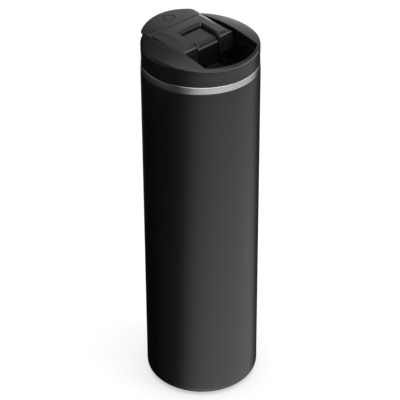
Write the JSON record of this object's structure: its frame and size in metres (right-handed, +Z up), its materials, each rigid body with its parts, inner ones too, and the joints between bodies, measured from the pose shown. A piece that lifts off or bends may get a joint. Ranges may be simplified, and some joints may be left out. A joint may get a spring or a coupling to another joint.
{
  "type": "insulated travel mug",
  "caption": "Slim double-wall vacuum travel mug with a screw-in lid and a flip lever that lifts its thumb tab to open a sealed drinking hole.",
  "frame": {"origin": "centre of the foot, on the surface that the mug stands on", "axes": "+Z up along the body, +Y towards the drinking side and the lever's thumb tab, +X along the lever's hinge pin"},
  "size_m": [0.073, 0.073, 0.248],
  "materials": {
    "powder_coat": "fine-textured satin black powder coat",
    "steel": "bare stainless steel, turned and lightly brushed",
    "seal_bead": "fused metal bead that closes the vacuum pinhole",
    "getter": "sintered getter pad",
    "silicone": "dark grey moulded silicone",
    "lid_plastic": "fine-textured moulded black polypropylene",
    "lever_plastic": "satin moulded black plastic",
    "tab_plastic": "satin moulded black plastic with a plain ring mark"
  },
  "bodies": {
    "mug": {"outer_shell": "powder_coat", "inner_liner": "steel", "base_cap": "steel", "vacuum_seal": "seal_bead", "getter_pad": "getter"},
    "gasket": {"lid_gasket": "silicone"},
    "lid": {"lid_plug": "lid_plastic", "lid_well": "lid_plastic", "lid_cap": "lid_plastic", "duct_seal": "silicone"},
    "lever": {"hinge_pin": "steel", "lever_frame": "lever_plastic", "thumb_tab": "tab_plastic", "stopper_holder": "lever_plastic", "stopper_seal": "silicone", "vent_seal": "silicone"}
  },
  "joints": [
    {"name": "lid_rise", "type": "slide", "parent": "mug", "child": "gasket", "axis": [0, 0, 1], "range_m": [0, 0.018]},
    {"name": "lid_screw", "type": "hinge", "parent": "gasket", "child": "lid", "pos_m": [0, 0, 0.2293], "axis": [0, 0, 1], "range_deg": [0, 810]},
    {"name": "lever_flip", "type": "hinge", "parent": "lid", "child": "lever", "pos_m": [0, 0, 0.2365], "axis": [1, 0, 0], "range_deg": [0, 135]}
  ],
  "couplings": [
    {"joint": "lid_rise", "follows": "lid_screw", "m_per_rad": 0.0012732}
  ]
}
